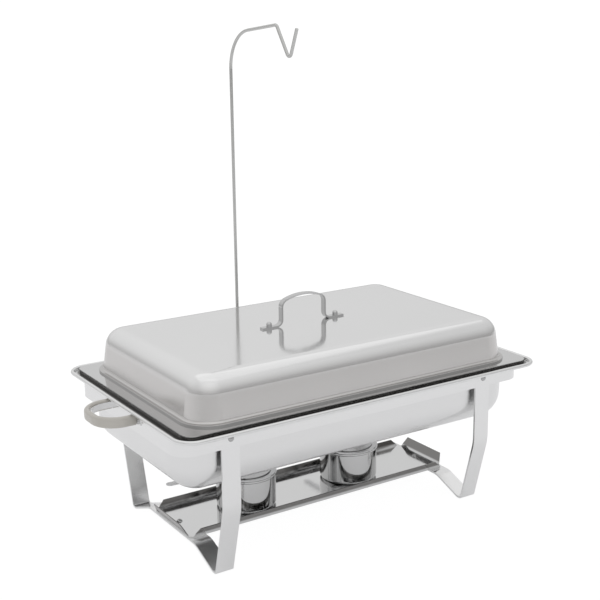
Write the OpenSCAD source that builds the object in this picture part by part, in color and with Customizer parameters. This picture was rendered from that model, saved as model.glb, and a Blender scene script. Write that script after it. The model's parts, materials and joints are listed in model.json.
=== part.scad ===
// Full-size chafing dish on a strip-metal stand with two fuel holders and a lid hanger.
// Units are millimetres, +Z is up, +X runs along the long side, -Y is the front.
// The origin is at the middle of the overall box, on the table.

/* [Water pan] */
// Outer length of the rim
rim_length = 610; // [560:1:640]
// Outer depth of the rim
rim_depth = 388; // [376:1:400]
// Outer corner radius of the rim
rim_corner_r = 30; // [24:1:40]
// Radius of the rolled bead round the rim
bead_r = 2.9; // [2:0.1:4]
// Height of the flat ledge the food pan sits on
ledge_z = 226; // [200:1:240]
// Width left outside the ledge for the groove and the bead
groove_zone = 13; // [11:0.5:14]
// Depth of the groove below the ledge
groove_depth = 6.4; // [4:0.2:9]
// Outer half length of the pan wall at the ledge
water_wall_x = 288; // [270:1:289]
// Outer half depth of the pan wall at the ledge
water_wall_y = 153; // [148:1:153]
// Upright corner radius of the pan wall
water_corner_r = 46; // [44:1:60]
// Half length of the opening the food pan hangs in
ledge_hole_x = 258; // [254:1:262]
// Height of the underside of the pan
water_bottom_z = 125; // [110:1:140]
// Fillet between wall and bottom
water_fillet_r = 42; // [12:1:42]
// Lean of the pan walls away from upright, in degrees
pan_lean = 2; // [1:0.5:6]
// Sheet thickness of pans and lid
sheet_t = 1; // [0.8:0.1:1.5]

/* [Food pan] */
// Outer length of the food pan flange
food_length = 530; // [520:1:540]
// Outer depth of the food pan flange
food_depth = 325; // [315:1:326]
// Corner radius of the flange
food_corner_r = 34; // [30:1:40]
// Outer half length of the food pan wall
food_wall_x = 252; // [240:1:256]
// Outer half depth of the food pan wall
food_wall_y = 145; // [130:1:146]
// Depth of the food pan
food_drop = 65; // [40:5:80]
// Fillet between wall and bottom
food_fillet_r = 15; // [8:1:25]

/* [Lid] */
// Half length to the centre of the lid's corner curves
lid_cx = 229; // [224:1:236]
// Half depth to the centre of the lid's corner curves
lid_cy = 125; // [120:1:132]
// Height of the lid's flat top
lid_top_z = 290; // [270:1:310]
// Radius of the shoulder between wall and top
lid_shoulder_r = 27; // [15:1:35]
// Radius from the corner centre to the foot of the wall
lid_wall_r = 38.2; // [34:0.1:40]
// Radius from the corner centre to the edge of the lip
lid_lip_r = 45; // [42:0.1:46]
// Lean of the wall away from upright, in degrees
lid_draft = 8; // [2:1:15]

/* [Lid handle] */
// Half width between the middles of the two uprights
handle_half = 38; // [30:1:50]
// Height of the handle above the lid
handle_height = 46; // [35:1:60]
// Width of the strip
handle_strip_w = 9; // [6:1:16]
// Thickness of the strip
handle_strip_t = 2.5; // [2:0.1:4]
// Half length over the two feet
handle_foot_end = 72; // [60:1:85]
// Half distance between the two screws
handle_screw_x = 59; // [52:1:70]
// Radius of the arched top of the handle
handle_arch_r = 90; // [70:5:200]
// Radius of the corners at the ends of the arch
handle_corner_r = 13; // [8:1:16]

/* [Stand] */
// Outer half length of the band
band_x = 296; // [294:1:298]
// Outer half depth of the band
band_y = 162; // [162:1:166]
// Outer corner radius of the band
band_corner_r = 27; // [15:1:40]
// Height of the band's lower edge
band_bottom_z = 191; // [180:1:205]
// Thickness of the band
band_t = 1.5; // [1:0.1:3]
// Distance of each leg frame from the middle
leg_x = 218; // [200:1:230]
// Width of the leg strip
leg_w = 27; // [20:1:32]
// Thickness of the leg strip
leg_t = 3; // [2:0.5:4]
// Height where the leg starts to lean in
leg_bend_z = 112; // [90:1:130]
// Radius of the upper leg bend
leg_bend_r = 80; // [40:1:120]
// Lean of the lower leg, in degrees
leg_lean = 15; // [8:1:20]
// Outer radius of the foot bend
foot_r = 5; // [4:0.5:10]
// Width of the flat under each foot
foot_flat = 5; // [4:0.5:10]
// Slope of the strip as it rises from the foot, in degrees
rise_angle = 21; // [12:1:30]
// Height of the top of the cross strip
cross_top_z = 22.6; // [18:0.1:30]
// Radius where the rising strip turns level
cross_bend_r = 40; // [20:1:80]
// Height of the leg bolts
leg_bolt_z = 204; // [200:0.5:208]

/* [Burner tray] */
// Half length of the tray plate
tray_x = 230; // [222:1:235]
// Half depth of the tray plate
tray_y = 57; // [50:1:65]
// Sheet thickness of the tray
tray_t = 1.2; // [1:0.1:2]
// Height of the long lips along their slope
long_lip_h = 12; // [8:0.1:16]
// Lean of the long lips, in degrees
long_lip_lean = 15; // [5:1:30]
// Height of the end lips along their slope
end_lip_h = 18.8; // [10:0.1:22]
// Lean of the end lips, in degrees
end_lip_lean = 27; // [5:1:35]

/* [Fuel holders] */
// Position of the left fuel holder along the tray
burner_left_x = -105; // [-150:1:-80]
// Position of the right fuel holder along the tray
burner_right_x = 83; // [60:1:150]
// Direction of the left cover's handle, in degrees
cover_left_angle = 174; // [150:1:210]
// Direction of the right cover's handle, in degrees
cover_right_angle = 90; // [60:1:120]
// Outer radius of the cup wall
cup_r = 45; // [40:0.5:48]
// Height of the cup
cup_h = 53; // [45:0.5:60]
// Fillet round the cup's foot
cup_fillet_r = 6; // [3:0.5:10]
// Radius of the cup's rolled rim
cup_bead_r = 2.2; // [1.5:0.1:3]
// Radius of the flame opening
flame_r = 20; // [15:1:25]
// Radius of the snuffer cover
cover_r = 38; // [32:1:40]
// Distance of the cover's pivot from the cup's axis
pivot_r = 36; // [30:1:38]
// Length from the cup's axis to the end of the cover's handle
tab_reach = 126; // [100:1:140]
// Radius of the fuel can
can_r = 41.5; // [38:0.5:42.5]
// Height of the fuel can
can_h = 44; // [36:1:46]

/* [Side handles] */
// Height of the middle of the side handles
side_z = 210; // [205:0.5:210]
// Half width between the middles of the two arms
side_half = 40; // [36:0.5:60]
// Radius of the middle of the handle's corners
side_corner_r = 33; // [20:1:35]
// Length of the straight part of each arm
side_arm = 15; // [12:1:35]
// Thickness of the grip, outwards
grip_t = 9; // [7:0.5:12]
// Height of the grip
grip_h = 15; // [10:0.5:16]

/* [Lid hanger] */
// Radius of the rod
rod_r = 2.5; // [2:0.1:4]
// Distance of the rod behind the middle of the pan
rod_y = 198; // [198:0.5:206]
// Height where the upright ends
rod_bend_z = 656; // [600:1:700]
// Radius of the large bend
rod_bend_r = 60; // [25:1:75]
// Angle turned by the large bend, in degrees
rod_turn = 84.6; // [80:0.1:90]
// Length of the straight arm
arm_length = 80; // [60:1:120]
// Radius of the two small bends
hook_bend_r = 6; // [5:0.5:10]
// Heading of the strand that runs down into the hook, in degrees
hook_down = 235.4; // [220:0.1:260]
// Length of the strand that runs down
hook_down_length = 46.9; // [30:0.1:60]
// Heading of the strand that runs up to the tip, in degrees
hook_up = 114; // [95:1:130]
// Length of the strand that runs up
hook_up_length = 38; // [25:1:55]

/* [Hidden] */
$fn = 64;
// small running gap between the rod and its socket, per side
run_gap = 0.08;
rod_lap = 0.5;
rod_slim = 0.06;
socket_r = 6;
socket_bottom_z = 175;
socket_top_z = 206;
socket_floor = 3;
// the whole part is moved so that its overall box is centred on the origin
frame_y = -(rod_y + socket_r - rim_depth / 2) / 2;
rim_x = rim_length / 2;
rim_y = rim_depth / 2;
groove_floor_z = ledge_z - groove_depth;
bead_z = groove_floor_z - sheet_t + bead_r - 0.4;
tray_top_z = cross_top_z + tray_t;
cup_top_z = tray_top_z + cup_h;
// the arch of the lid handle and the corners it turns into; the strip is drawn in short flats
handle_arch_c = [0, handle_height - handle_arch_r];
arch_turn = asin((handle_half + handle_strip_t / 2 - handle_corner_r) / (handle_arch_r - handle_corner_r));
handle_corner_c = [handle_half + handle_strip_t / 2 - handle_corner_r,
                   handle_arch_c[1] + (handle_arch_r - handle_corner_r) * cos(arch_turn)];
// the pan rests on the band by the underside of its groove
band_top_z = groove_floor_z - sheet_t;
band_inner_x = band_x - band_t;
band_inner_y = band_y - band_t;
leg_outer_y = band_inner_y;
leg_top_z = 216;
// screws and bolts
bolt_r = 2.4;
bolt_hole_r = 2.5;
bolt_head_r = 4.5;
bolt_head_h = 3.2;
nut_r = 4.4;
nut_t = 3;
nut_bore_r = 2.45;
bolt_tail = 3.3;
// lid hanger bracket
plate_half = 22;
plate_t = 2;
plate_low_z = 195;
plate_high_z = 215;
bracket_screw_x = 14;
bracket_screw_z = 205;
// side handles
strap_t = 1.5;
strap_h = 9;
strap_foot_length = 20;
rivet_y = side_half + 10;
rivet_r = 2.2;
rivet_hole_r = 2.3;
rivet_head_r = 4;
rivet_head_h = 2.2;
// snuffer covers
cover_t = 1.2;
cover_lift = 0.6;
play = 0.1;
ring_t = 1;
cover_z = cup_h + ring_t + cover_lift;
rivet_foot_h = 1;
tab_half_w = 6;
shoulder_r = 4;
shank_r = 2.5;
shank_gap = 0.06;

// ---------- shared shapes ----------

// points on an arc, from angle a0 to a1
function arc(c, r, a0, a1, steps) =
    [for (i = [0:steps]) c + r * [cos(a0 + (a1 - a0) * i / steps), sin(a0 + (a1 - a0) * i / steps)]];

// the same points on the other side of the upright axis, in reverse order
function flipped(points) =
    [for (i = [len(points) - 1:-1:0]) [-points[i][0], points[i][1]]];

module rounded_rect(half_x, half_y, r) {
    square([2 * half_x - 2 * r, 2 * half_y], center = true);
    square([2 * half_x, 2 * half_y - 2 * r], center = true);
    for (sx = [-1, 1])
        for (sy = [-1, 1])
            translate([sx * (half_x - r), sy * (half_y - r)])
                circle(r);
}

// carries a profile, drawn as distance outwards and height, round a rounded rectangle
module sweep_round(cx, cy) {
    for (turn = [0, 180])
        rotate([0, 0, turn]) {
            translate([cx, cy, 0])
                rotate_extrude(angle = 90)
                    children();
            translate([-cx, cy, 0])
                rotate([0, 0, 90])
                    rotate_extrude(angle = 90)
                        children();
            translate([-cx, cy, 0])
                rotate([90, 0, 90])
                    linear_extrude(2 * cx)
                        children();
            translate([cx, cy, 0])
                rotate([90, 0, 0])
                    linear_extrude(2 * cy)
                        children();
        }
}

// part of a ring of sheet metal, outer radius r, between two angles up to 90 degrees apart
module sheet_arc(c, r, from, to) {
    far = 2 * r;
    mid = (from + to) / 2;
    translate(c)
        intersection() {
            difference() {
                circle(r);
                circle(r - sheet_t);
            }
            polygon([[0, 0], far * [cos(from), sin(from)], far * [cos(mid), sin(mid)],
                     far * [cos(to), sin(to)]]);
        }
}

// straight sheet metal from p to q, lying to the left of that direction
module sheet_line(p, q) {
    along = (q - p) / norm(q - p);
    left = sheet_t * [-along[1], along[0]];
    polygon([p, q, q + left, p + left]);
}

// a sheet-metal basin with leaning walls and a filleted floor
module basin(wall_x, wall_y, corner_r, top_z, floor_z, fillet_r) {
    wall = (top_z - floor_z - fillet_r + fillet_r * sin(pan_lean)) / cos(pan_lean);
    wall_foot = [corner_r - wall * sin(pan_lean), top_z - wall * cos(pan_lean)];
    fillet_c = wall_foot - fillet_r * [cos(pan_lean), -sin(pan_lean)];
    sweep_round(wall_x - corner_r, wall_y - corner_r) {
        sheet_line(wall_foot, [corner_r, top_z]);
        sheet_arc(fillet_c, fillet_r, -90, -pan_lean);
        translate([0, floor_z])
            square([fillet_c[0], sheet_t]);
    }
    translate([0, 0, floor_z + sheet_t / 2])
        cube([2 * (wall_x - corner_r), 2 * (wall_y - corner_r), sheet_t], center = true);
}

// a shallow dome on a flat underside at z = 0
module dome(r, h) {
    ball = (r * r + h * h) / (2 * h);
    intersection() {
        translate([0, 0, h - ball])
            sphere(ball);
        cylinder(r = r + 1, h = h);
    }
}

// a domed screw pointing down from z = 0
module dome_screw(head_r, head_h, shank_radius, length) {
    dome(head_r, head_h);
    translate([0, 0, -length])
        cylinder(r = shank_radius, h = length + head_h / 2);
}

module hex_nut(r, t, bore) {
    difference() {
        cylinder(r = r, h = t, $fn = 6);
        translate([0, 0, -1])
            cylinder(r = bore, h = t + 2);
    }
}

module in_frame() {
    translate([0, frame_y, 0])
        children();
}

// ---------- stand ----------

module stand_band() {
    color([0.78, 0.78, 0.79])
        in_frame()
            difference() {
                translate([0, 0, band_bottom_z])
                    linear_extrude(band_top_z - band_bottom_z)
                        difference() {
                            rounded_rect(band_x, band_y, band_corner_r);
                            rounded_rect(band_inner_x, band_inner_y, band_corner_r - band_t);
                        }
                for (sx = [-1, 1])
                    for (sy = [-1, 1]) {
                        translate([sx * leg_x, sy * band_y, leg_bolt_z])
                            rotate([90, 0, 0])
                                cylinder(r = bolt_hole_r, h = 10, center = true);
                        translate([sx * band_x, sy * rivet_y, side_z])
                            rotate([0, 90, 0])
                                cylinder(r = rivet_hole_r, h = 10, center = true);
                    }
                for (sx = [-1, 1])
                    translate([sx * bracket_screw_x, band_y, bracket_screw_z])
                        rotate([90, 0, 0])
                            cylinder(r = bolt_hole_r, h = 10, center = true);
            }
}

// centre of the foot bend, placed so that the leg's straight part runs into it
function foot_centre(knee) =
    let (z = foot_r - foot_r * sin(leg_lean),
         y = knee[0] - (knee[1] - z) * tan(leg_lean))
    [y - foot_r * cos(leg_lean), foot_r];

// centre of the bend where the rising strip turns level
function cross_centre(foot_c) =
    let (start = foot_c - foot_r * [sin(rise_angle), cos(rise_angle)],
         c_z = cross_top_z - leg_t - cross_bend_r,
         end_z = c_z + cross_bend_r * cos(rise_angle),
         end_y = start[0] - (end_z - start[1]) / tan(rise_angle))
    [end_y - cross_bend_r * sin(rise_angle), c_z];

// one face of a leg frame's strip, from the top of the leg to the start of the level part;
// inset is 0 on the outer face and the strip's thickness on the inner face
function leg_face(inset) =
    let (bend_c = [leg_outer_y - leg_bend_r, leg_bend_z],
         knee = bend_c + leg_bend_r * [cos(leg_lean), -sin(leg_lean)],
         heel_c = foot_centre(knee),
         toe_c = heel_c - [foot_flat, 0])
    concat([[leg_outer_y - inset, leg_top_z]],
           arc(bend_c, leg_bend_r - inset, 0, -leg_lean, 8),
           arc(heel_c, foot_r - inset, -leg_lean, -90, 8),
           arc(toe_c, foot_r - inset, -90, -90 - rise_angle, 4),
           arc(cross_centre(toe_c), cross_bend_r + inset, 90 - rise_angle, 90, 8));

// a list in reverse order
function back(points) =
    [for (i = [len(points) - 1:-1:0]) points[i]];

module leg_frame(x) {
    color([0.76, 0.76, 0.78])
        in_frame()
            difference() {
                translate([x - leg_w / 2, 0, 0])
                    rotate([90, 0, 90])
                        linear_extrude(leg_w)
                            polygon(concat(leg_face(0), flipped(leg_face(0)),
                                           back(flipped(leg_face(leg_t))), back(leg_face(leg_t))));
                for (sy = [-1, 1])
                    translate([x, sy * leg_outer_y, leg_bolt_z])
                        rotate([90, 0, 0])
                            cylinder(r = bolt_hole_r, h = 12, center = true);
                translate([x, 0, 0])
                    cylinder(r = bolt_hole_r, h = 40);
            }
}

module leg_frame_left() {
    leg_frame(-leg_x);
}

module leg_frame_right() {
    leg_frame(leg_x);
}

module leg_bolts() {
    color([0.7, 0.7, 0.72])
        in_frame()
            for (sx = [-1, 1])
                for (turn = [0, 180])
                    rotate([0, 0, turn])
                        translate([sx * leg_x, -band_y, leg_bolt_z])
                            rotate([90, 0, 0])
                                dome_screw(bolt_head_r, bolt_head_h, bolt_r, band_t + leg_t + bolt_tail);
}

module leg_nuts() {
    color([0.62, 0.62, 0.64])
        in_frame()
            for (sx = [-1, 1])
                for (turn = [0, 180])
                    rotate([0, 0, turn])
                        translate([sx * leg_x, -leg_outer_y + leg_t, leg_bolt_z])
                            rotate([-90, 0, 0])
                                hex_nut(nut_r, nut_t, nut_bore_r);
}

// a lip folded up from one edge of the tray, leaning outwards to -Y
module tray_lip(edge, half_low, half_high, height, lean) {
    translate([0, -edge, cross_top_z + tray_t / 2])
        rotate([90 + lean, 0, 0])
            linear_extrude(tray_t)
                polygon([[-half_low, 0], [half_low, 0], [half_high, height], [-half_high, height]]);
}

module burner_tray() {
    lip_in = tray_t + 0.2;
    color([0.8, 0.8, 0.81])
        in_frame()
            difference() {
                union() {
                    translate([0, 0, cross_top_z])
                        linear_extrude(tray_t)
                            polygon([[-tray_x, 4 - tray_y], [4 - tray_x, -tray_y],
                                     [tray_x - 4, -tray_y], [tray_x, 4 - tray_y],
                                     [tray_x, tray_y - 4], [tray_x - 4, tray_y],
                                     [4 - tray_x, tray_y], [-tray_x, tray_y - 4]]);
                    for (turn = [0, 180])
                        rotate([0, 0, turn])
                            tray_lip(tray_y - lip_in, tray_x - 4, tray_x - 16, long_lip_h, long_lip_lean);
                    for (turn = [90, 270])
                        rotate([0, 0, turn])
                            tray_lip(tray_x - lip_in, tray_y - 7, tray_y - 15, end_lip_h, end_lip_lean);
                }
                for (sx = [-1, 1])
                    translate([sx * leg_x, 0, 0])
                        cylinder(r = bolt_hole_r, h = 40);
            }
}

module tray_bolts() {
    color([0.7, 0.7, 0.72])
        in_frame()
            for (sx = [-1, 1])
                translate([sx * leg_x, 0, tray_top_z])
                    dome_screw(bolt_head_r, bolt_head_h, bolt_r, tray_t + leg_t + bolt_tail);
}

module tray_nuts() {
    color([0.62, 0.62, 0.64])
        in_frame()
            for (sx = [-1, 1])
                translate([sx * leg_x, 0, cross_top_z - leg_t - nut_t])
                    hex_nut(nut_r, nut_t, nut_bore_r);
}

// ---------- side handles ----------

// outline of the flat strap that lines the grip and carries its two feet, seen from above
function strap_outline() =
    let (arm_y = band_x + side_arm,
         c = [side_half - side_corner_r, arm_y],
         out_r = side_corner_r - grip_t / 2,
         arm_x = side_half - grip_t / 2,
         foot_x = arm_x + strap_foot_length)
    concat([[foot_x, band_x], [arm_x - strap_t, band_x]],
           arc(c, out_r - strap_t, 0, 90, 14),
           arc([-c[0], c[1]], out_r - strap_t, 90, 180, 14),
           [[strap_t - arm_x, band_x], [-foot_x, band_x], [-foot_x, band_x + strap_t],
            [-arm_x, band_x + strap_t]],
           arc([-c[0], c[1]], out_r, 180, 90, 14),
           arc(c, out_r, 90, 0, 14),
           [[arm_x, band_x + strap_t], [foot_x, band_x + strap_t]]);

// the strap and its grip are drawn pointing along +Y, then turned to the end they belong to
module at_end(turn) {
    in_frame()
        rotate([0, 0, turn])
            translate([0, 0, side_z])
                children();
}

module side_strap(turn) {
    color([0.55, 0.54, 0.53])
        at_end(turn)
            difference() {
                translate([0, 0, -strap_h / 2])
                    linear_extrude(strap_h)
                        polygon(strap_outline());
                for (sx = [-1, 1])
                    translate([sx * rivet_y, band_x, 0])
                        rotate([90, 0, 0])
                            cylinder(r = rivet_hole_r, h = 10, center = true);
            }
}

module grip_section() {
    rounded_rect(grip_t / 2, grip_h / 2, 4);
}

module side_grip(turn) {
    arm_y = band_x + side_arm;
    inner = side_half - side_corner_r;
    color([0.66, 0.63, 0.58])
        at_end(turn) {
            for (sx = [-1, 1])
                translate([sx * side_half, arm_y, 0])
                    rotate([90, 0, 0])
                        linear_extrude(side_arm - strap_t)
                            grip_section();
            translate([inner, arm_y, 0])
                rotate_extrude(angle = 90)
                    translate([side_corner_r, 0])
                        grip_section();
            translate([-inner, arm_y, 0])
                rotate([0, 0, 90])
                    rotate_extrude(angle = 90)
                        translate([side_corner_r, 0])
                            grip_section();
            translate([-inner, arm_y + side_corner_r, 0])
                rotate([90, 0, 90])
                    linear_extrude(2 * inner)
                        grip_section();
        }
}

module side_rivets(turn) {
    inside_head_h = 1.2;
    color([0.7, 0.7, 0.72])
        at_end(turn)
            for (sx = [-1, 1])
                translate([sx * rivet_y, band_x + strap_t, 0])
                    rotate([-90, 0, 0]) {
                        dome_screw(rivet_head_r, rivet_head_h, rivet_r, strap_t + band_t + inside_head_h);
                        translate([0, 0, -strap_t - band_t - inside_head_h])
                            cylinder(r = rivet_head_r, h = inside_head_h);
                    }
}

module side_strap_left() {
    side_strap(90);
}

module side_strap_right() {
    side_strap(-90);
}

module side_grip_left() {
    side_grip(90);
}

module side_grip_right() {
    side_grip(-90);
}

module side_rivets_left() {
    side_rivets(90);
}

module side_rivets_right() {
    side_rivets(-90);
}

// ---------- lid hanger ----------

module hanger_bracket() {
    web_t = 4;
    color([0.72, 0.72, 0.74])
        in_frame()
            difference() {
                union() {
                    translate([-plate_half, band_y, plate_low_z])
                        cube([2 * plate_half, plate_t, plate_high_z - plate_low_z]);
                    translate([-web_t / 2, band_y + plate_t / 2, plate_low_z])
                        cube([web_t, rod_y - band_y - socket_r / 2, socket_top_z - plate_low_z - 1]);
                    translate([0, rod_y, socket_bottom_z])
                        cylinder(r = socket_r, h = socket_top_z - socket_bottom_z);
                }
                translate([0, rod_y, socket_bottom_z + socket_floor])
                    cylinder(r = rod_r + run_gap, h = socket_top_z);
                for (sx = [-1, 1])
                    translate([sx * bracket_screw_x, band_y, bracket_screw_z])
                        rotate([90, 0, 0])
                            cylinder(r = bolt_hole_r, h = 10, center = true);
            }
}

module hanger_screws() {
    color([0.7, 0.7, 0.72])
        in_frame()
            for (sx = [-1, 1])
                translate([sx * bracket_screw_x, band_y + plate_t, bracket_screw_z])
                    rotate([-90, 0, 0])
                        dome_screw(bolt_head_r, bolt_head_h, bolt_r, plate_t + band_t + bolt_tail);
}

module hanger_nuts() {
    color([0.62, 0.62, 0.64])
        in_frame()
            for (sx = [-1, 1])
                translate([sx * bracket_screw_x, band_inner_y, bracket_screw_z])
                    rotate([90, 0, 0])
                        hex_nut(nut_r, nut_t, nut_bore_r);
}

// a straight length of rod from a point along a heading, run on a little into its bends
module rod_line(from, heading, length) {
    translate([0, from[0], from[1]])
        rotate([heading - 90, 0, 0])
            translate([0, 0, -rod_lap])
                cylinder(r = rod_r, h = length + 2 * rod_lap);
}

// a bend round a centre, from the lower to the higher angle, drawn a hair slimmer
module rod_bend(centre, radius, from_angle, to_angle) {
    translate([0, centre[0], centre[1]])
        rotate([90, 0, 90])
            rotate([0, 0, from_angle])
                rotate_extrude(angle = to_angle - from_angle)
                    translate([radius, 0])
                        circle(rod_r - rod_slim, $fn = 32);
}

function step(from, heading, length) =
    from + length * [cos(heading), sin(heading)];

module hanger_rod() {
    foot_z = socket_bottom_z + socket_floor + rod_lap + 0.2;
    arm_heading = 90 + rod_turn;
    bend_c = [rod_y - rod_bend_r, rod_bend_z];
    arm_start = step(bend_c, rod_turn, rod_bend_r);
    arm_end = step(arm_start, arm_heading, arm_length);
    apex_c = step(arm_end, arm_heading + 90, hook_bend_r);
    down_start = step(apex_c, hook_down - 90, hook_bend_r);
    down_end = step(down_start, hook_down, hook_down_length);
    low_c = step(down_end, hook_down - 90, hook_bend_r);
    up_start = step(low_c, hook_up + 90, hook_bend_r);
    color([0.7, 0.7, 0.69])
        in_frame() {
            rod_line([rod_y, foot_z], 90, rod_bend_z - foot_z);
            rod_bend(bend_c, rod_bend_r, 0, rod_turn);
            rod_line(arm_start, arm_heading, arm_length);
            rod_bend(apex_c, hook_bend_r, arm_heading - 90, hook_down - 90);
            rod_line(down_start, hook_down, hook_down_length);
            rod_bend(low_c, hook_bend_r, hook_up + 90, hook_down + 90);
            rod_line(up_start, hook_up, hook_up_length);
        }
}

// ---------- pans ----------

module flange(half_x, half_y, r, hole_x, hole_y, hole_r, z) {
    translate([0, 0, z])
        linear_extrude(sheet_t)
            difference() {
                rounded_rect(half_x, half_y, r);
                rounded_rect(hole_x, hole_y, hole_r);
            }
}

module water_pan() {
    groove_in = rim_corner_r - groove_zone;
    mid = sheet_t / 2;
    bead_x = rim_corner_r - bead_r;
    color([0.8, 0.8, 0.81])
        in_frame() {
            basin(water_wall_x, water_wall_y, water_corner_r, ledge_z - mid, water_bottom_z,
                  water_fillet_r);
            flange(rim_x - groove_zone - mid, rim_y - groove_zone - mid, groove_in - mid,
                   ledge_hole_x, water_wall_y - mid, water_corner_r - mid, ledge_z - sheet_t);
            sweep_round(rim_x - rim_corner_r, rim_y - rim_corner_r)
                polygon([[groove_in - sheet_t, groove_floor_z - sheet_t],
                         [bead_x, groove_floor_z - sheet_t], [bead_x, groove_floor_z],
                         [groove_in, groove_floor_z], [groove_in, ledge_z],
                         [groove_in - sheet_t, ledge_z]]);
            sweep_round(rim_x - rim_corner_r, rim_y - rim_corner_r)
                translate([bead_x, bead_z])
                    circle(bead_r, $fn = 32);
        }
}

module food_pan() {
    mid = sheet_t / 2;
    color([0.82, 0.82, 0.83])
        in_frame() {
            basin(food_wall_x, food_wall_y, water_corner_r, ledge_z + mid,
                  ledge_z + sheet_t - food_drop, food_fillet_r);
            flange(food_length / 2, food_depth / 2, food_corner_r,
                   food_wall_x - mid, food_wall_y - mid, water_corner_r - mid, ledge_z);
        }
}

// ---------- lid ----------

module lid_section() {
    fold_r = 4;
    lip_z = ledge_z + 3;
    fold_c = [lid_wall_r + fold_r, lip_z + fold_r];
    outward = [cos(lid_draft), sin(lid_draft)];
    uphill = [-sin(lid_draft), cos(lid_draft)];
    wall_low = fold_c - fold_r * outward;
    shoulder_z = lid_top_z - lid_shoulder_r;
    wall = (shoulder_z + lid_shoulder_r * sin(lid_draft) - wall_low[1]) / cos(lid_draft);
    wall_high = wall_low + wall * uphill;
    shoulder_c = wall_high - lid_shoulder_r * outward;
    polygon([[lid_lip_r, ledge_z], [lid_lip_r, lip_z - 0.5], [lid_lip_r - 0.5, lip_z],
             [fold_c[0], lip_z], [fold_c[0], lip_z - sheet_t], [lid_lip_r - sheet_t, lip_z - sheet_t],
             [lid_lip_r - sheet_t, ledge_z]]);
    sheet_arc(fold_c, fold_r + sheet_t, 180 + lid_draft, 270);
    sheet_line(wall_low, wall_high);
    sheet_arc(shoulder_c, lid_shoulder_r, lid_draft, 90);
    translate([0, lid_top_z - sheet_t])
        square([shoulder_c[0], sheet_t]);
}

module lid_shell() {
    color([0.8, 0.8, 0.81])
        in_frame()
            difference() {
                union() {
                    sweep_round(lid_cx, lid_cy)
                        lid_section();
                    translate([0, 0, lid_top_z - sheet_t / 2])
                        cube([2 * lid_cx, 2 * lid_cy, sheet_t], center = true);
                }
                for (sx = [-1, 1])
                    translate([sx * handle_screw_x, 0, lid_top_z - 5])
                        cylinder(r = bolt_hole_r, h = 10);
            }
}

// outline of the lid handle for the +X half, from the top round the outside
function handle_outside() =
    let (fold_r = 8,
         out_x = handle_half + handle_strip_t / 2)
    concat(arc(handle_arch_c, handle_arch_r, 90 - arch_turn / 11, 90 - arch_turn * 9 / 11, 4),
           arc(handle_corner_c, handle_corner_r, 90 - arch_turn, 0, 8),
           arc([out_x + fold_r, handle_strip_t + fold_r], fold_r, 180, 270, 8),
           [[handle_foot_end, handle_strip_t]]);

function handle_inside() =
    let (fold_r = 8,
         out_x = handle_half + handle_strip_t / 2)
    concat([[handle_foot_end, 0]],
           arc([out_x + fold_r, handle_strip_t + fold_r], fold_r + handle_strip_t, 270, 180, 8),
           arc(handle_corner_c, handle_corner_r - handle_strip_t, 0, 90 - arch_turn, 8),
           arc(handle_arch_c, handle_arch_r - handle_strip_t, 90 - arch_turn * 9 / 11,
               90 - arch_turn / 11, 4));

module lid_handle() {
    color([0.72, 0.72, 0.73])
        in_frame()
            translate([0, 0, lid_top_z])
                difference() {
                    rotate([90, 0, 0])
                        linear_extrude(handle_strip_w, center = true)
                            polygon(concat(handle_outside(), handle_inside(),
                                           flipped(handle_inside()), flipped(handle_outside())));
                    for (sx = [-1, 1])
                        translate([sx * handle_screw_x, 0, -1])
                            cylinder(r = bolt_hole_r, h = handle_strip_t + 2);
                }
}

// acorn nuts on top of the handle's feet
module lid_cap_nuts() {
    skirt_h = 3;
    cap_r = 4.2;
    color([0.72, 0.72, 0.73])
        in_frame()
            for (sx = [-1, 1])
                translate([sx * handle_screw_x, 0, lid_top_z + handle_strip_t])
                    difference() {
                        union() {
                            cylinder(r = cap_r, h = skirt_h);
                            translate([0, 0, skirt_h])
                                dome(cap_r, cap_r);
                        }
                        translate([0, 0, -1])
                            cylinder(r = nut_bore_r, h = skirt_h + 2);
                    }
}

// screws that come up through the lid from below
module lid_screws() {
    rise = sheet_t + handle_strip_t + 3.5;
    color([0.62, 0.62, 0.64])
        in_frame()
            for (sx = [-1, 1])
                translate([sx * handle_screw_x, 0, lid_top_z - sheet_t])
                    rotate([180, 0, 0])
                        dome_screw(bolt_head_r, bolt_head_h, bolt_r, rise);
}

// ---------- fuel holders ----------

module at_burner(x) {
    in_frame()
        translate([x, 0, tray_top_z])
            children();
}

module fuel_cup(x) {
    fillet_c = [cup_r - cup_fillet_r, cup_fillet_r];
    bead_centre = [cup_r - sheet_t / 2, cup_h - cup_bead_r];
    color([0.74, 0.74, 0.75])
        at_burner(x)
            rotate_extrude() {
                polygon(concat([[0, 0]],
                               arc(fillet_c, cup_fillet_r, -90, 0, 10),
                               [[cup_r, cup_h - cup_bead_r], [cup_r - sheet_t, cup_h - cup_bead_r]],
                               arc(fillet_c, cup_fillet_r - sheet_t, 0, -90, 10),
                               [[0, sheet_t]]));
                translate(bead_centre)
                    circle(cup_bead_r);
            }
}

// the ring plate that sits on the cup's rim and narrows its mouth to the flame opening
module cup_ring(x, turn) {
    lip_r = cup_r - sheet_t / 2 - cup_bead_r - 0.3;
    lip_h = 5;
    color([0.76, 0.76, 0.77])
        at_burner(x)
            difference() {
                union() {
                    translate([0, 0, cup_h])
                        cylinder(r = cup_r + 1, h = ring_t);
                    translate([0, 0, cup_h - lip_h])
                        cylinder(r = lip_r, h = lip_h + ring_t / 2);
                }
                translate([0, 0, cup_h - lip_h - 1])
                    cylinder(r = lip_r - sheet_t, h = lip_h + 1);
                translate([0, 0, cup_h - 1])
                    cylinder(r = flame_r, h = ring_t + 2);
                rotate([0, 0, turn])
                    translate([pivot_r, 0, cup_h - 1])
                        cylinder(r = shank_r, h = ring_t + 2);
            }
}

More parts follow.
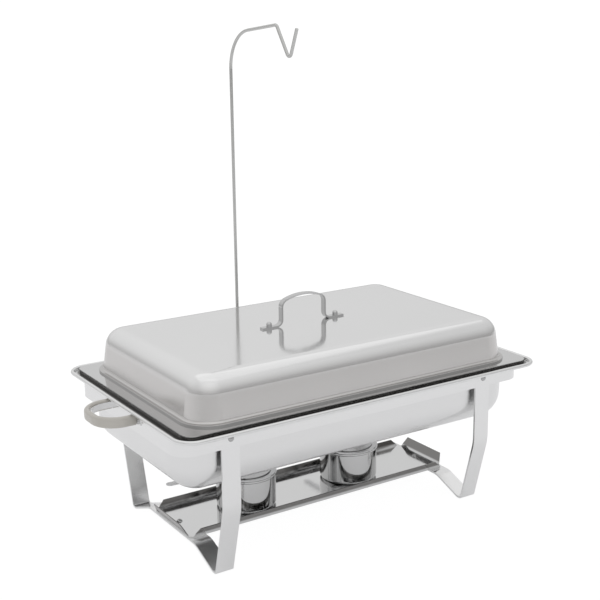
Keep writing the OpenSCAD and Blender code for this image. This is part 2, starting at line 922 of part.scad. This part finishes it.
module fuel_can(x) {
    mouth_r = 18;
    mouth_depth = 6;
    color([0.7, 0.69, 0.66])
        at_burner(x)
            translate([0, 0, sheet_t + 0.2])
                rotate_extrude()
                    polygon([[0, 0], [can_r - 2, 0], [can_r - 2, 2], [can_r, 2], [can_r, can_h - 3],
                             [can_r - 1, can_h - 3], [can_r - 1, can_h], [mouth_r, can_h - 1],
                             [mouth_r, can_h - mouth_depth], [0, can_h - mouth_depth]]);
}

// rivet the cover turns on, with a shoulder that spaces it off the ring plate
module cover_rivet(x, turn) {
    ring_top_z = cup_h + ring_t;
    head_z = cover_z + cover_t + play;
    color([0.62, 0.62, 0.64])
        at_burner(x)
            rotate([0, 0, turn])
                translate([pivot_r, 0, 0]) {
                    translate([0, 0, cup_h - rivet_foot_h])
                        cylinder(r = shoulder_r, h = rivet_foot_h);
                    translate([0, 0, cup_h - rivet_foot_h / 2])
                        cylinder(r = shank_r - shank_gap, h = head_z - cup_h + rivet_foot_h);
                    translate([0, 0, ring_top_z])
                        cylinder(r = shoulder_r, h = cover_z - ring_top_z - play);
                    translate([0, 0, head_z])
                        dome(shoulder_r, 1.8);
                }
}

// snuffer disc with its long handle, closed over the flame opening
module cover(x, turn) {
    color([0.78, 0.78, 0.79])
        at_burner(x)
            translate([0, 0, cover_z])
                rotate([0, 0, turn])
                    difference() {
                        linear_extrude(cover_t) {
                            circle(cover_r);
                            translate([0, -tab_half_w])
                                square([tab_reach - tab_half_w, 2 * tab_half_w]);
                            translate([tab_reach - tab_half_w, 0])
                                circle(tab_half_w);
                        }
                        translate([pivot_r, 0, -1])
                            cylinder(r = shank_r, h = cover_t + 2);
                    }
}

module fuel_cup_left() {
    fuel_cup(burner_left_x);
}

module fuel_cup_right() {
    fuel_cup(burner_right_x);
}

module cup_ring_left() {
    cup_ring(burner_left_x, cover_left_angle);
}

module cup_ring_right() {
    cup_ring(burner_right_x, cover_right_angle);
}

module fuel_can_left() {
    fuel_can(burner_left_x);
}

module fuel_can_right() {
    fuel_can(burner_right_x);
}

module cover_rivet_left() {
    cover_rivet(burner_left_x, cover_left_angle);
}

module cover_rivet_right() {
    cover_rivet(burner_right_x, cover_right_angle);
}

module cover_left() {
    cover(burner_left_x, cover_left_angle);
}

module cover_right() {
    cover(burner_right_x, cover_right_angle);
}

stand_band();
leg_frame_left();
leg_frame_right();
leg_bolts();
leg_nuts();
burner_tray();
tray_bolts();
tray_nuts();
side_strap_left();
side_strap_right();
side_grip_left();
side_grip_right();
side_rivets_left();
side_rivets_right();
hanger_bracket();
hanger_screws();
hanger_nuts();
hanger_rod();
water_pan();
food_pan();
lid_shell();
lid_handle();
lid_cap_nuts();
lid_screws();
fuel_cup_left();
fuel_cup_right();
cup_ring_left();
cup_ring_right();
fuel_can_left();
fuel_can_right();
cover_rivet_left();
cover_rivet_right();
cover_left();
cover_right();
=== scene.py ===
import json
import math

import bpy
from mathutils import Matrix, Vector


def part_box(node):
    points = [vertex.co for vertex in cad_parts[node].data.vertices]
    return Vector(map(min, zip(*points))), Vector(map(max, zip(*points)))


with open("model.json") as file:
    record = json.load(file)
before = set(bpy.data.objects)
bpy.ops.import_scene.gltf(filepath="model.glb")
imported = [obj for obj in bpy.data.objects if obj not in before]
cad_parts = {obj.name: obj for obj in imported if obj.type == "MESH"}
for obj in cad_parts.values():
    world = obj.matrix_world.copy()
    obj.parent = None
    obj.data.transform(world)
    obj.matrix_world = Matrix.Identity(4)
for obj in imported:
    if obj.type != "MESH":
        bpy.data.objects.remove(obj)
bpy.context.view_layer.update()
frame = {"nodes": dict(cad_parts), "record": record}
nodes = frame["nodes"]
scene = bpy.context.scene

MM = 0.001


# ---------- node helpers ----------

def new_material(name):
    mat = bpy.data.materials.new(name)
    mat.use_nodes = True
    tree = mat.node_tree
    shader = tree.nodes["Principled BSDF"]
    return mat, tree, shader


def value_range(tree, source, low, high, from_low=0.0, from_high=1.0):
    node = tree.nodes.new("ShaderNodeMapRange")
    node.inputs["From Min"].default_value = from_low
    node.inputs["From Max"].default_value = from_high
    node.inputs["To Min"].default_value = low
    node.inputs["To Max"].default_value = high
    tree.links.new(source, node.inputs["Value"])
    return node.outputs["Result"]


def noise(tree, coords, scale, detail=3.0, rough=0.5, stretch=(1, 1, 1)):
    mapping = tree.nodes.new("ShaderNodeMapping")
    mapping.inputs["Scale"].default_value = stretch
    tree.links.new(coords, mapping.inputs["Vector"])
    node = tree.nodes.new("ShaderNodeTexNoise")
    node.inputs["Scale"].default_value = scale
    node.inputs["Detail"].default_value = detail
    node.inputs["Roughness"].default_value = rough
    tree.links.new(mapping.outputs["Vector"], node.inputs["Vector"])
    return node.outputs["Fac"]


def mix_values(tree, a, b, kind="ADD"):
    node = tree.nodes.new("ShaderNodeMath")
    node.operation = kind
    for socket, value in zip(node.inputs, (a, b)):
        if isinstance(value, float):
            socket.default_value = value
        else:
            tree.links.new(value, socket)
    return node.outputs["Value"]


def object_coords(tree):
    return tree.nodes.new("ShaderNodeTexCoord").outputs["Object"]


def object_xyz(tree):
    """The X, Y and Z sockets of a point of the object, in metres."""
    split = tree.nodes.new("ShaderNodeSeparateXYZ")
    tree.links.new(object_coords(tree), split.inputs["Vector"])
    return split.outputs


def height_mask(tree, z, heights):
    """0 at the first height and 1 at the second one, both in metres."""
    return value_range(tree, z, 0, 1, *heights)


def colour_mix(tree):
    node = tree.nodes.new("ShaderNodeMix")
    node.data_type = "RGBA"
    return node


def add_bump(tree, shader, height, distance):
    bump = tree.nodes.new("ShaderNodeBump")
    bump.inputs["Strength"].default_value = 1.0
    bump.inputs["Distance"].default_value = distance
    tree.links.new(height, bump.inputs["Height"])
    tree.links.new(bump.outputs["Normal"], shader.inputs["Normal"])


# ---------- steel ----------

# how far the base colour of steel strays from its tone, darker and lighter
TONE_SPREAD = (0.95, 1.03)
ROUGHNESS_LIMITS = (0.03, 0.9)
SHEET_WAVE = 0.08 * MM


def steel(name, tone, rough, grain=(1.0, 40.0, 40.0), grain_depth=0.02 * MM, grain_spread=0.06,
          smudge=0.05, tint=(1.0, 1.0, 1.0)):
    """Stainless steel: a fine directional grain, faint smudges and a slightly uneven sheet."""
    mat, tree, shader = new_material(name)
    coords = object_coords(tree)
    fine = noise(tree, coords, scale=60.0, detail=4.0, rough=0.6, stretch=grain)
    marks = noise(tree, coords, scale=9.0, detail=5.0, rough=0.55)
    sheet = noise(tree, coords, scale=5.0, detail=1.0, rough=0.4)
    sheen = mix_values(tree, value_range(tree, fine, -grain_spread, grain_spread),
                       value_range(tree, marks, -smudge, smudge, 0.35, 0.65))
    clamp = tree.nodes.new("ShaderNodeClamp")
    clamp.inputs["Min"].default_value, clamp.inputs["Max"].default_value = ROUGHNESS_LIMITS
    tree.links.new(mix_values(tree, sheen, rough), clamp.inputs["Value"])
    tree.links.new(clamp.outputs["Result"], shader.inputs["Roughness"])

    colour = colour_mix(tree)
    for socket, spread in zip("AB", TONE_SPREAD):
        colour.inputs[socket].default_value = (*(min(1.0, tone * c * spread) for c in tint), 1)
    blend = mix_values(tree, mix_values(tree, fine, 0.5, "MULTIPLY"),
                       mix_values(tree, marks, 0.5, "MULTIPLY"))
    tree.links.new(blend, colour.inputs["Factor"])
    tree.links.new(colour.outputs["Result"], shader.inputs["Base Color"])
    shader.inputs["Metallic"].default_value = 1.0

    # the bump node takes its heights in millimetres
    height = mix_values(tree, mix_values(tree, fine, grain_depth / MM, "MULTIPLY"),
                        mix_values(tree, sheet, SHEET_WAVE / MM, "MULTIPLY"))
    add_bump(tree, shader, height, MM)
    return mat


def tint_by_mask(tree, shader, mask, colour):
    """Blend the base colour towards another one where the mask is 1."""
    blend = colour_mix(tree)
    blend.inputs["B"].default_value = (*colour, 1)
    tree.links.new(mask, blend.inputs["Factor"])
    tree.links.new(shader.inputs["Base Color"].links[0].from_socket, blend.inputs["A"])
    tree.links.new(blend.outputs["Result"], shader.inputs["Base Color"])


def polish(tree, shader, mask, amount):
    """Take this much off the roughness where the mask is 1."""
    rough = shader.inputs["Roughness"].links[0].from_socket
    smoother = mix_values(tree, mask, -amount, "MULTIPLY")
    tree.links.new(mix_values(tree, rough, smoother), shader.inputs["Roughness"])


def shade_by_height(mat, heights, colour):
    """Blend the base colour towards another one between two heights."""
    tree = mat.node_tree
    mask = height_mask(tree, object_xyz(tree)["Z"], heights)
    tint_by_mask(tree, tree.nodes["Principled BSDF"], mask, colour)
    return mat


# ---------- water pan ----------

# the ledge lies this far inside the rim, and the rim's corners have this radius
RIM_ZONE = 13 * MM
RIM_CORNER = 30 * MM
pan_low, pan_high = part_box("water_pan")
LEDGE_X = pan_high[0] - RIM_ZONE
LEDGE_Y = (pan_high[1] - pan_low[1]) / 2 - RIM_ZONE
LEDGE_CORNER = RIM_CORNER - RIM_ZONE
LEDGE_Z = pan_high[2]
PAN_MIDDLE_Y = (pan_low[1] + pan_high[1]) / 2
# the groove's painted shade, measured outwards from the ledge's outline: where it fades in and where it
# fades out
GROOVE_INNER = (-1.0 * MM, 0.0)
GROOVE_OUTER = (2.2 * MM, 4.2 * MM)
# and its top and bottom below the ledge
GROOVE_TOP = (1.4 * MM, 0.4 * MM)
GROOVE_BOTTOM = (6.8 * MM, 6.6 * MM)
# colour of the painted shade in the groove
GROOVE_PAINTED_SHADE = (0.13, 0.127, 0.123)
# below the ledge's top face its painted reflection and its polish fade away over these depths
LEDGE_FADE = (0.9 * MM, 0.1 * MM)
# how much smoother the ledge is than the walls of the pan
LEDGE_POLISH = 0.13
# the darker grey of the ledge's painted reflection of the lid wall
LEDGE_PAINTED_REFLECTION = (0.60, 0.60, 0.60)


def distance_past_ledge(tree, point):
    """How far a point lies outside the ledge's rounded outline, seen from above."""
    square = 0.0
    for axis, half, middle in (("X", LEDGE_X, 0.0), ("Y", LEDGE_Y, PAN_MIDDLE_Y)):
        offset = mix_values(tree, point[axis], middle, "SUBTRACT")
        reach = mix_values(tree, mix_values(tree, offset, 0.0, "ABSOLUTE"), half - LEDGE_CORNER, "SUBTRACT")
        past = mix_values(tree, reach, 0.0, "MAXIMUM")
        square = mix_values(tree, mix_values(tree, past, 2.0, "POWER"), square)
    return mix_values(tree, mix_values(tree, square, 0.5, "POWER"), LEDGE_CORNER, "SUBTRACT")


def below_ledge(depths):
    return [LEDGE_Z - depth for depth in depths]


def paint_rim_shade_and_polish(mat):
    """Painted shade in the groove round the rim, and a smoother ledge with a darker painted reflection."""
    tree = mat.node_tree
    shader = tree.nodes["Principled BSDF"]
    point = object_xyz(tree)
    outside = distance_past_ledge(tree, point)
    inner = value_range(tree, outside, 0, 1, *GROOVE_INNER)
    outer = value_range(tree, outside, 1, 0, *GROOVE_OUTER)
    under_top = value_range(tree, point["Z"], 1, 0, *below_ledge(GROOVE_TOP))
    over_floor = height_mask(tree, point["Z"], below_ledge(GROOVE_BOTTOM))
    groove = mix_values(tree, mix_values(tree, inner, outer, "MULTIPLY"),
                        mix_values(tree, under_top, over_floor, "MULTIPLY"), "MULTIPLY")
    # paint the groove's shade into the base colour
    tint_by_mask(tree, shader, groove, GROOVE_PAINTED_SHADE)
    on_ledge = height_mask(tree, point["Z"], below_ledge(LEDGE_FADE))
    # paint the ledge's reflection into its base colour
    tint_by_mask(tree, shader, on_ledge, LEDGE_PAINTED_REFLECTION)
    polish(tree, shader, on_ledge, LEDGE_POLISH)
    return mat


# ---------- lid and tray ----------

# heights over which the lid's top polish and painted reflections and the tray lips' painted reflection fade
# in: the lid's follow its top and its lip, the tray's are above the floor
lid_low, lid_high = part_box("lid_shell")
LID_TOP_Z = (lid_high[2] - 4 * MM, lid_high[2] - 0.5 * MM)
LID_WALL_Z = (lid_high[2] - 10 * MM, lid_high[2] - 28 * MM)
LID_FOOT_Z = (lid_low[2] + 4.5 * MM, lid_low[2] + 2.5 * MM)
LID_POLISH = 0.12
# painted reflection: walls greyer and warmer than the top
LID_WALL_PAINTED_REFLECTION = (0.60, 0.587, 0.578)
# painted reflection: a darker foot above the lip
LID_FOOT_PAINTED_REFLECTION = (0.46, 0.455, 0.45)
TRAY_LIP_Z = (26.2 * MM, 28.5 * MM)
# painted reflection: lips darker than the plate
TRAY_LIP_PAINTED_REFLECTION = (0.24, 0.235, 0.23)


def polish_top(mat):
    """Make the lid's flat top smoother than its walls."""
    tree = mat.node_tree
    mask = height_mask(tree, object_xyz(tree)["Z"], LID_TOP_Z)
    polish(tree, tree.nodes["Principled BSDF"], mask, LID_POLISH)
    return mat


def lid_steel():
    """Steel with painted reflections: walls a little greyer and warmer than the top, and a darker foot."""
    mat = steel("lid steel", 0.77, 0.23, (1.0, 25.0, 25.0), grain_depth=0.006 * MM,
                smudge=0.02, grain_spread=0.02)
    # paint the reflections on the walls and the foot into the base colour
    shade_by_height(mat, LID_WALL_Z, LID_WALL_PAINTED_REFLECTION)
    shade_by_height(mat, LID_FOOT_Z, LID_FOOT_PAINTED_REFLECTION)
    return polish_top(mat)


def tray_steel():
    """Steel with a painted reflection that makes the lips darker than the plate."""
    return shade_by_height(steel("tray sheet steel", 0.66, 0.09, (1.0, 25.0, 1.0)),
                           TRAY_LIP_Z, TRAY_LIP_PAINTED_REFLECTION)


# ---------- plastic ----------

GRIP_DARK = (0.44, 0.42, 0.385)
GRIP_LIGHT = (0.55, 0.53, 0.49)


def grip_plastic(name):
    """Warm grey moulded grip with a soft sheen and a very fine pebbled skin."""
    mat, tree, shader = new_material(name)
    coords = object_coords(tree)
    pebble = noise(tree, coords, scale=900.0, detail=2.0, rough=0.5)
    flow = noise(tree, coords, scale=25.0, detail=4.0, rough=0.6)
    colour = colour_mix(tree)
    colour.inputs["A"].default_value = (*GRIP_DARK, 1)
    colour.inputs["B"].default_value = (*GRIP_LIGHT, 1)
    tree.links.new(flow, colour.inputs["Factor"])
    tree.links.new(colour.outputs["Result"], shader.inputs["Base Color"])
    tree.links.new(value_range(tree, flow, 0.28, 0.42), shader.inputs["Roughness"])
    shader.inputs["Coat Weight"].default_value = 0.25
    shader.inputs["Coat Roughness"].default_value = 0.2
    add_bump(tree, shader, pebble, 0.03 * MM)
    return mat


# ---------- materials on the CAD nodes ----------

# the pans have a calmer grain than the strips
calm = dict(grain_depth=0.01 * MM, grain_spread=0.03, smudge=0.02)
finishes = {
    "stand_steel": steel("satin strip steel", 0.78, 0.20, (1.0, 1.0, 30.0)),
    "tray_steel": tray_steel(),
    "pan_steel": paint_rim_shade_and_polish(steel("water pan steel", 0.75, 0.24, (1.0, 25.0, 25.0), **calm)),
    "food_pan_steel": steel("food pan steel", 0.70, 0.24, (1.0, 25.0, 1.0), **calm),
    "lid_steel": lid_steel(),
    "handle_steel": steel("handle steel", 0.55, 0.12, (1.0, 20.0, 20.0), smudge=0.03),
    "fastener_steel": steel("fastener steel", 0.45, 0.2, (10.0, 10.0, 10.0), smudge=0.03),
    "grip_grey": grip_plastic("warm grey grip"),
    "rod_chrome": steel("plated wire", 0.54, 0.28, (8.0, 8.0, 1.0), smudge=0.04, tint=(1.0, 1.0, 0.98)),
    "burner_steel": steel("cup steel", 0.58, 0.09, (20.0, 20.0, 1.0), smudge=0.03),
    "cover_steel": steel("cover steel", 0.60, 0.14, (1.0, 20.0, 1.0)),
    "can_aluminium": steel("can aluminium", 0.55, 0.32, (1.0, 1.0, 20.0), tint=(1.0, 0.99, 0.96)),
}
for part in frame["record"]["subparts"]:
    obj = nodes[part["node"]]
    for place in obj.material_slots:
        place.material = finishes[part["material_slot"]]


# ---------- surroundings ----------

FLOOR_RADIUS = 6.0
FLOOR_SIDES = 64
# what lights and mirrors the object: the floor's own colour and how much it shines
FLOOR_COLOUR = (0.62, 0.62, 0.63)
FLOOR_SHINE = 0.34
# what the camera sees instead: a floor that mostly glows, and a plain white background
FLOOR_GLOW = 0.86
GLOW_STRENGTH = 1.06
BACKGROUND_STRENGTH = 1.05
# brightness of the room by height: -1 straight down, 0 level, 1 straight up
ROOM = [(-1.0, 0.5), (-0.05, 0.52), (0.05, 0.58), (0.2, 0.75), (0.45, 0.84), (0.75, 0.88), (1.0, 0.86)]
# the room's strength in front of the object and behind it
DIM_FRONT = (0.72, 1.08)
# a soft window high in front: its direction, the strength it adds at its middle,
# and the cosine of the angle between its middle and its edge
WINDOW = (-0.2, -0.8, 0.7)
WINDOW_GLOW = 0.32
WINDOW_EDGE = 0.55


def seen_directly(tree, direct, lit):
    """One shader for what the camera sees and another for what lights and mirrors the object."""
    path = tree.nodes.new("ShaderNodeLightPath")
    mix = tree.nodes.new("ShaderNodeMixShader")
    tree.links.new(path.outputs["Is Camera Ray"], mix.inputs["Fac"])
    tree.links.new(lit, mix.inputs[1])
    tree.links.new(direct, mix.inputs[2])
    return mix.outputs["Shader"]


def make_floor():
    mesh = bpy.data.meshes.new("floor")
    angles = [2 * math.pi * i / FLOOR_SIDES for i in range(FLOOR_SIDES)]
    points = [(FLOOR_RADIUS * math.cos(a), FLOOR_RADIUS * math.sin(a), 0) for a in angles]
    mesh.from_pydata(points, [], [list(range(FLOOR_SIDES))])
    floor = bpy.data.objects.new("floor", mesh)
    scene.collection.objects.link(floor)
    mat, tree, shader = new_material("pale floor")
    shader.inputs["Base Color"].default_value = (*FLOOR_COLOUR, 1)
    shader.inputs["Emission Color"].default_value = (1, 1, 1, 1)
    shader.inputs["Emission Strength"].default_value = FLOOR_SHINE
    shader.inputs["Roughness"].default_value = 0.9
    glow = tree.nodes.new("ShaderNodeEmission")
    glow.inputs["Strength"].default_value = GLOW_STRENGTH
    pale = tree.nodes.new("ShaderNodeMixShader")
    pale.inputs["Fac"].default_value = FLOOR_GLOW
    tree.links.new(shader.outputs["BSDF"], pale.inputs[1])
    tree.links.new(glow.outputs["Emission"], pale.inputs[2])
    tree.links.new(seen_directly(tree, pale.outputs["Shader"], shader.outputs["BSDF"]),
                   tree.nodes["Material Output"].inputs["Surface"])
    mesh.materials.append(mat)


def make_world():
    world = bpy.data.worlds.new("studio")
    world.use_nodes = True
    tree = world.node_tree
    tree.nodes.clear()
    out = tree.nodes.new("ShaderNodeOutputWorld")
    plain = tree.nodes.new("ShaderNodeBackground")
    plain.inputs["Color"].default_value = (1, 1, 1, 1)
    plain.inputs["Strength"].default_value = BACKGROUND_STRENGTH
    room = tree.nodes.new("ShaderNodeBackground")
    coords = tree.nodes.new("ShaderNodeTexCoord")
    split = tree.nodes.new("ShaderNodeSeparateXYZ")
    tree.links.new(coords.outputs["Generated"], split.inputs["Vector"])
    ramp = tree.nodes.new("ShaderNodeValToRGB")
    while len(ramp.color_ramp.elements) < len(ROOM):
        ramp.color_ramp.elements.new(0.5)
    for element, (height, level) in zip(ramp.color_ramp.elements, ROOM):
        element.position = (height + 1) / 2
        element.color = (level, level, level, 1)
    tree.links.new(value_range(tree, split.outputs["Z"], 0, 1, -1, 1), ramp.inputs["Fac"])
    tree.links.new(ramp.outputs["Color"], room.inputs["Color"])
    side = value_range(tree, split.outputs["Y"], *DIM_FRONT, -1, 1)
    facing = tree.nodes.new("ShaderNodeVectorMath")
    facing.operation = "DOT_PRODUCT"
    facing.inputs[1].default_value = Vector(WINDOW).normalized()
    tree.links.new(coords.outputs["Generated"], facing.inputs[0])
    window = value_range(tree, facing.outputs["Value"], 0, WINDOW_GLOW, WINDOW_EDGE, 1)
    tree.links.new(mix_values(tree, side, window), room.inputs["Strength"])
    tree.links.new(seen_directly(tree, plain.outputs["Background"], room.outputs["Background"]),
                   out.inputs["Surface"])
    scene.world = world


def area_light(name, place, target, width, depth, power):
    data = bpy.data.lights.new(name, "AREA")
    data.shape = "RECTANGLE"
    data.size = width
    data.size_y = depth
    data.energy = power
    light = bpy.data.objects.new(name, data)
    light.location = place
    light.rotation_mode = "QUATERNION"
    light.rotation_quaternion = (Vector(target) - Vector(place)).to_track_quat("-Z", "Y")
    scene.collection.objects.link(light)


make_floor()
make_world()
area_light("top softbox", (0.3, 0.6, 3.4), (0, 0, 0.2), width=4.4, depth=3.6, power=10)


# ---------- camera ----------

CAMERA_AZIMUTH = -32.812
CAMERA_ELEVATION = 14.228
CAMERA_ROLL = -0.717
CAMERA_PLACE = (-0.8817, -1.3660, 0.7353)
LENS_MM = 67.16


def make_camera():
    azimuth, elevation, roll = (math.radians(v) for v in (CAMERA_AZIMUTH, CAMERA_ELEVATION, CAMERA_ROLL))
    right = Vector((math.cos(azimuth), math.sin(azimuth), 0))
    back = Vector((math.sin(azimuth) * math.cos(elevation), -math.cos(azimuth) * math.cos(elevation),
                   math.sin(elevation)))
    up = back.cross(right)
    side = right * math.cos(roll) + up * math.sin(roll)
    top = up * math.cos(roll) - right * math.sin(roll)
    data = bpy.data.cameras.new("camera")
    data.sensor_width = 36.0
    data.lens = LENS_MM
    data.dof.use_dof = False
    data.clip_start = 0.05
    data.clip_end = 50
    camera = bpy.data.objects.new("camera", data)
    camera.rotation_mode = "QUATERNION"
    camera.rotation_quaternion = Matrix((side, top, back)).transposed().to_quaternion()
    camera.location = CAMERA_PLACE
    scene.collection.objects.link(camera)
    scene.camera = camera


make_camera()
scene.view_settings.view_transform = "Standard"
scene.view_settings.look = "None"
